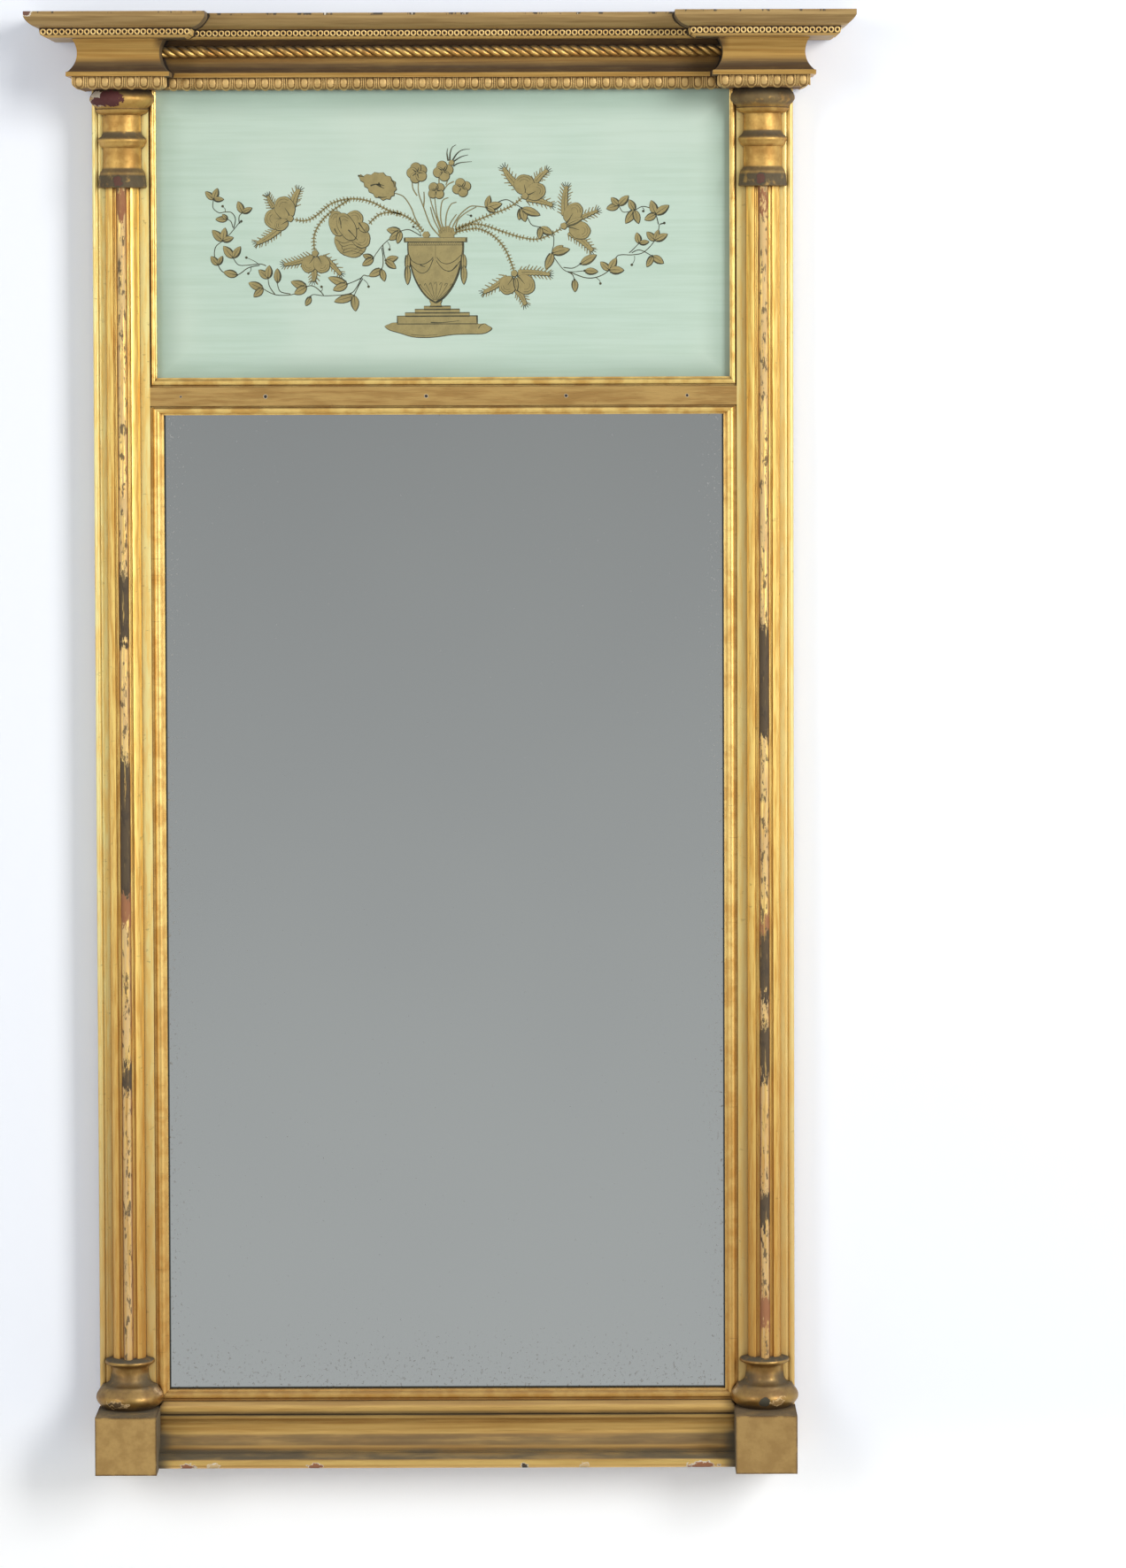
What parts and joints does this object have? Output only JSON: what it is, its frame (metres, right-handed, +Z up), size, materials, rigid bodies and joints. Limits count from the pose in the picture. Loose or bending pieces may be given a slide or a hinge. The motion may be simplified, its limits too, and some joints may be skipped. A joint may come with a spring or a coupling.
{
  "type": "tabernacle looking glass",
  "caption": "Tall gilt wall mirror with reeded half columns, a stepped cornice, a reverse-painted glass tablet over the mirror plate and swinging hanger loops on the back.",
  "frame": {"origin": "on the flat back of the frame, in the middle of its width, level with the hinge line of the two hanger loops", "axes": "+X to the right as seen from the front, +Y backward into the wall, +Z up"},
  "size_m": [0.6502, 0.1005, 1.1582],
  "materials": {
    "gilt_wood": "worn gilding over bole and gesso",
    "gilt_ornament": "gilt moulded ornament, dusty in the hollows",
    "bare_pine": "old unfinished softwood",
    "mirror": "old silvered plate, lightly foxed",
    "painted_glass": "reverse-painted, opaque",
    "hanger_brass": "dull brass",
    "steel_fasteners": "dark steel"
  },
  "bodies": {
    "frame": {"backboard_brads": "steel_fasteners", "base_moulding": "gilt_wood", "bottom_rail": "bare_pine", "column_bases": "gilt_wood", "column_capitals": "gilt_wood", "cornice_block_left": "bare_pine", "cornice_block_right": "bare_pine", "cove_center": "gilt_wood", "cove_left_front": "gilt_wood", "cove_left_inner": "gilt_wood", "cove_left_outer": "gilt_wood", "cove_right_front": "gilt_wood", "cove_right_inner": "gilt_wood", "cove_right_outer": "gilt_wood", "cross_rail": "gilt_wood", "crown_center": "gilt_wood", "crown_left_front": "gilt_wood", "crown_left_inner": "gilt_wood", "crown_left_outer": "gilt_wood", "crown_right_front": "gilt_wood", "crown_right_inner": "gilt_wood", "crown_right_outer": "gilt_wood", "frieze_board": "bare_pine", "hanger_screws": "steel_fasteners", "hanger_straps": "hanger_brass", "leaf_strip_center": "gilt_ornament", "leaf_strip_left": "gilt_ornament", "leaf_strip_right": "gilt_ornament", "left_plinth": "gilt_wood", "left_shaft": "gilt_wood", "left_stile": "gilt_wood", "mirror_backboard": "bare_pine", "mirror_bead_bottom": "gilt_wood", "mirror_bead_left": "gilt_wood", "mirror_bead_right": "gilt_wood", "mirror_bead_top": "gilt_wood", "mirror_plate": "mirror", "mirror_wedges": "bare_pine", "pearl_strip_center": "gilt_ornament", "pearl_strip_left": "gilt_ornament", "pearl_strip_right": "gilt_ornament", "right_plinth": "gilt_wood", "right_shaft": "gilt_wood", "right_stile": "gilt_wood", "rope_strip": "gilt_ornament", "tablet_backboard": "bare_pine", "tablet_bead_bottom": "gilt_wood", "tablet_bead_left": "gilt_wood", "tablet_bead_right": "gilt_wood", "tablet_glass": "painted_glass", "tablet_wedges": "bare_pine", "top_rail": "bare_pine"},
    "left_loop": {"hanger_loop_left": "hanger_brass"},
    "right_loop": {"hanger_loop_right": "hanger_brass"}
  },
  "joints": [
    {"name": "left_ring_swing", "type": "hinge", "parent": "frame", "child": "left_loop", "pos_m": [-0.2543, 0.00271, 0], "axis": [1, 0, 0], "range_deg": [0, 180]},
    {"name": "right_ring_swing", "type": "hinge", "parent": "frame", "child": "right_loop", "pos_m": [0.2543, 0.00271, 0], "axis": [1, 0, 0], "range_deg": [0, 180]}
  ]
}
